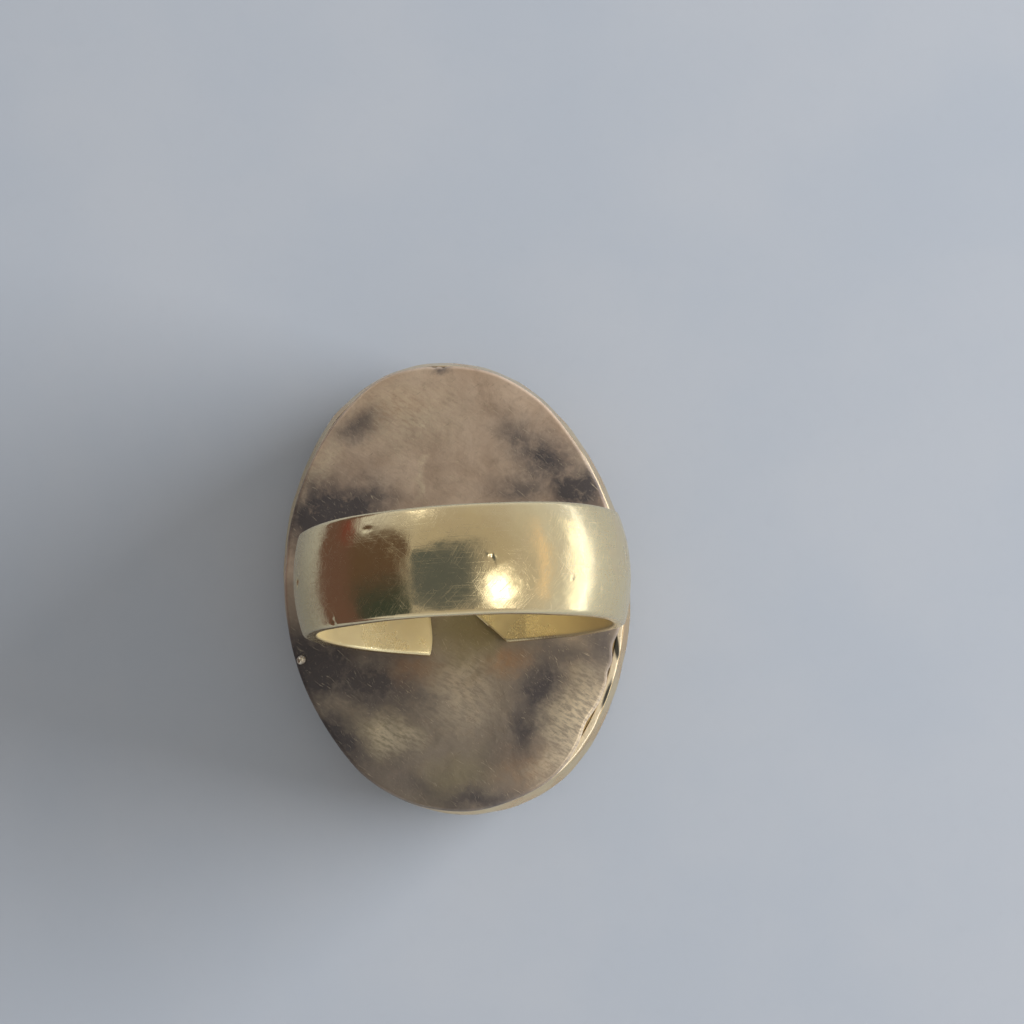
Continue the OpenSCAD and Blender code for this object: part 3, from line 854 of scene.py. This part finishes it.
def polished_onyx():
    """Black onyx: faint grey bands that bend through the stone, under a bright polish with a
    few hair scratches."""
    f = Finish("polished onyx", coat_weight=0.6, coat_roughness=0.03, ior=1.54)
    warp = f.push(f.place(), 0.10, 7.0)
    at = f.place(turn=24, warp=warp)
    bands = f.add("ShaderNodeTexWave", {"Vector": at, "Scale": 0.09, "Distortion": 3.0,
                                        "Detail": 3.0, "Detail Scale": 0.6},
                  wave_type="BANDS").outputs["Fac"]
    cloud = f.noise(f.place(), 0.9, 5.0, 0.6)
    colour = f.mix(f.steps(bands, 0.35, 1.0, 0.0, 0.6), ONYX_BLACK, ONYX_BAND)
    colour = f.mix(f.steps(cloud, 0.55, 0.8, 0.0, 0.4), colour, ONYX_CLOUD)
    hair = f.scratches(25, 5.0, 0.05, 0.0, bend=0.8)
    rough = f.math("ADD", f.steps(cloud, 0.3, 0.7, 0.06, 0.10), f.math("MULTIPLY", hair, 0.15))
    return f.finish(base_color=colour, roughness=rough, normal=f.relief(hair, -0.001))


# ---- put together ----

def fit_piece(piece, node, material):
    """Gives a made piece its finish and lets it stand for a CAD node."""
    piece.data.materials.append(material)
    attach(piece, "root")
    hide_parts(node)


def finish_node(node, material):
    """Gives a CAD node that stays as it is a better finish."""
    mesh = frame["nodes"][node].data
    mesh.materials.clear()
    mesh.materials.append(material)


solder = pale_solder()
fit_piece(band(), "shank", worn_gold())
fit_piece(plate(), "back_plate", tarnished_back())
fit_piece(seam(), "plate_seam", solder_seam())
fit_piece(wall(), "bezel_wall", wall_gold())
fit_piece(tablet(), "stone", polished_onyx())
fit_piece(foot_solder("left_fillet", -1, GAP_LEFT + 0.05), "left_foot_solder", solder)
fit_piece(foot_solder("right_fillet", 1, GAP_RIGHT_NEAR + 0.05), "right_foot_solder",
          solder)
fit_piece(bead(), "edge_bead", solder)
finish_node("bearing_strip", raw_brass())
finish_node("backing_pad", grey_card())


# ---- camera, floor and light ----

def flat(name, corners, material):
    """A flat four-cornered sheet, in millimetres."""
    mesh = bpy.data.meshes.new(name)
    mesh.from_pydata([Vector(c) * MM for c in corners], [], [(0, 1, 2, 3)])
    mesh.materials.append(material)
    obj = bpy.data.objects.new(name, mesh)
    bpy.context.scene.collection.objects.link(obj)
    return obj


def floor():
    """Pale bluish-grey ground, very slightly mottled."""
    f = Finish("pale ground", specular_ior_level=0.15)
    cloud = f.noise(f.place(), 0.06, 4.0)
    weave = f.noise(f.place(), 1.2, 2.0)
    colour = f.mix(f.steps(cloud, 0.3, 0.7), GROUND, GROUND_PALE)
    colour = f.mix(f.steps(weave, 0.5, 0.8, 0.0, 0.08), colour, GROUND_FLECK)
    material = f.finish(base_color=colour, roughness=f.steps(cloud, 0.3, 0.7, 0.75, 0.9))
    z, far = TABLE - 0.01, 2500
    flat("ground", [(-far, -far, z), (far, -far, z), (far, far, z), (-far, far, z)], material)


def card(name, centre, across, up, colour, strength, fades):
    """A studio card that only shows in the metal: a sheet spanned by two half-edges. It fades
    out at the start and end of each edge, over the given parts of that edge's length."""
    f = Finish(name + " card")
    glow = f.add("ShaderNodeEmission", {"Color": (*colour, 1), "Strength": strength}).outputs[0]
    uv = f.add("ShaderNodeTexCoord", {}).outputs["UV"]
    side = f.add("ShaderNodeSeparateXYZ", {0: uv}).outputs
    share = 1.0
    for k in (0, 1):
        share = f.math("MULTIPLY", f.steps(side[k], 0.0, fades[2 * k]), share)
        share = f.math("MULTIPLY", f.steps(side[k], 1.0, 1.0 - fades[2 * k + 1]), share)
    clear = f.add("ShaderNodeBsdfTransparent", {}).outputs[0]
    glow = f.add("ShaderNodeMixShader", {0: share, 1: clear, 2: glow}).outputs[0]
    f.tree.links.new(glow, f.tree.nodes["Material Output"].inputs["Surface"])
    c, a, b = (np.array(v, float) for v in (centre, across, up))
    obj = flat(name + "_card", [c - a - b, c + a - b, c + a + b, c - a + b], f.material)
    layer = obj.data.uv_layers.new(name="corners")
    layer.data.foreach_set("uv", [0, 0, 1, 0, 1, 1, 0, 1])
    obj.visible_camera = obj.visible_diffuse = obj.visible_shadow = False
    obj.visible_transmission = obj.visible_volume_scatter = False


def lamp(name, place, aim, size, power, colour):
    """A soft rectangular lamp, in millimetres, that the camera doesn't see."""
    data = bpy.data.lights.new(name, "AREA")
    data.shape = "RECTANGLE"
    data.size, data.size_y = size[0] * MM, size[1] * MM
    data.energy, data.color = power, colour
    obj = bpy.data.objects.new(name, data)
    obj.location = Vector(place) * MM
    obj.rotation_euler = (Vector(place) - Vector(aim)).to_track_quat("Z", "Y").to_euler()
    obj.visible_camera = obj.visible_glossy = False
    bpy.context.scene.collection.objects.link(obj)


def sky():
    """Even room light, dimmer and warmer overhead, brighter towards the horizon."""
    world = bpy.data.worlds.new("room")
    world.use_nodes = True
    bpy.context.scene.world = world
    nodes, links = world.node_tree.nodes, world.node_tree.links
    way = nodes.new("ShaderNodeTexCoord")
    split = nodes.new("ShaderNodeSeparateXYZ")
    links.new(way.outputs["Generated"], split.inputs[0])
    ramp = nodes.new("ShaderNodeValToRGB")
    for stop, place, colour in ((0, 0.0, SKY_LOW), (1, 0.85, SKY_OVERHEAD)):
        ramp.color_ramp.elements[stop].position = place
        ramp.color_ramp.elements[stop].color = (*colour, 1)
    links.new(split.outputs[2], ramp.inputs[0])
    links.new(ramp.outputs[0], nodes["Background"].inputs["Color"])
    nodes["Background"].inputs["Strength"].default_value = 1.0


def camera():
    """Above the back of the ring, a little to the near side, with a short telephoto lens."""
    data = bpy.data.cameras.new("camera")
    data.sensor_width, data.lens = 36.0, 102.5
    data.clip_start, data.clip_end = 0.01, 10.0
    obj = bpy.data.objects.new("camera", data)
    obj.location = Vector((-2.19, -21.04, 181.88)) * MM
    obj.rotation_euler = [math.radians(a) for a in (7.93, -1.30, -3.22)]
    bpy.context.scene.collection.objects.link(obj)
    bpy.context.scene.camera = obj


floor()
sky()
camera()
lamp("daylight", (620, 90, 72), (0, 0, 0), (620, 90), 16.0, (1.0, 0.99, 0.98))

# name, centre, half-edge across, half-edge up, colour, strength, fades at the edges' ends
CARDS = [
    ("window", (600, 10, 90), (0, 280, 0), (0, 0, 105),
     (1.0, 0.99, 0.93), 1.7, (0.1, 0.1, 0.05, 0.55)),
    ("lamp", (83, -50, 180), (50, 0, -22), (0, 60, 0),
     (1.0, 0.98, 0.90), 4.0, (0.5, 0.5, 0.5, 0.5)),
    ("skin", (172, 20, 120), (17, 0, -24), (0, 110, 0),
     (1.0, 0.82, 0.64), 0.82, (0.5, 0.5, 0.2, 0.3)),
    ("far_glint", (-86, 134, 137), (32, 0, 12), (0, 9, -9),
     (1.0, 0.98, 0.92), 2.6, (0.3, 0.3, 0.3, 0.3)),
    ("phone", (-28, -15, 190), (106, 0, 0), (0, 78, 0),
     (0.86, 1.0, 1.10), 0.108, (0.03, 0.36, 0.05, 0.05)),
    ("brown", (-48, 0, 2), (0, 80, 0), (0, 0, 17),
     (1.0, 0.60, 0.55), 0.118, (0.1, 0.1, 0.1, 0.3)),
    ("red", (-47, 23, 8), (0, 10, 0), (0, 0, 7),
     (1.0, 0.26, 0.22), 0.17, (0.5, 0.5, 0.5, 0.5)),
    ("wood", (-225, 0, 90), (65, 0, 120), (0, 150, 0),
     (1.0, 0.66, 0.50), 0.100, (0.1, 0.05, 0.05, 0.2)),
    ("leaf", (-206, -62, 122), (50, 0, 90), (0, 80, 0),
     (0.72, 1.0, 0.88), 0.050, (0.1, 0.05, 0.05, 0.5)),
]
for row in CARDS:
    card(*row)

bpy.context.scene.view_settings.view_transform = "Standard"
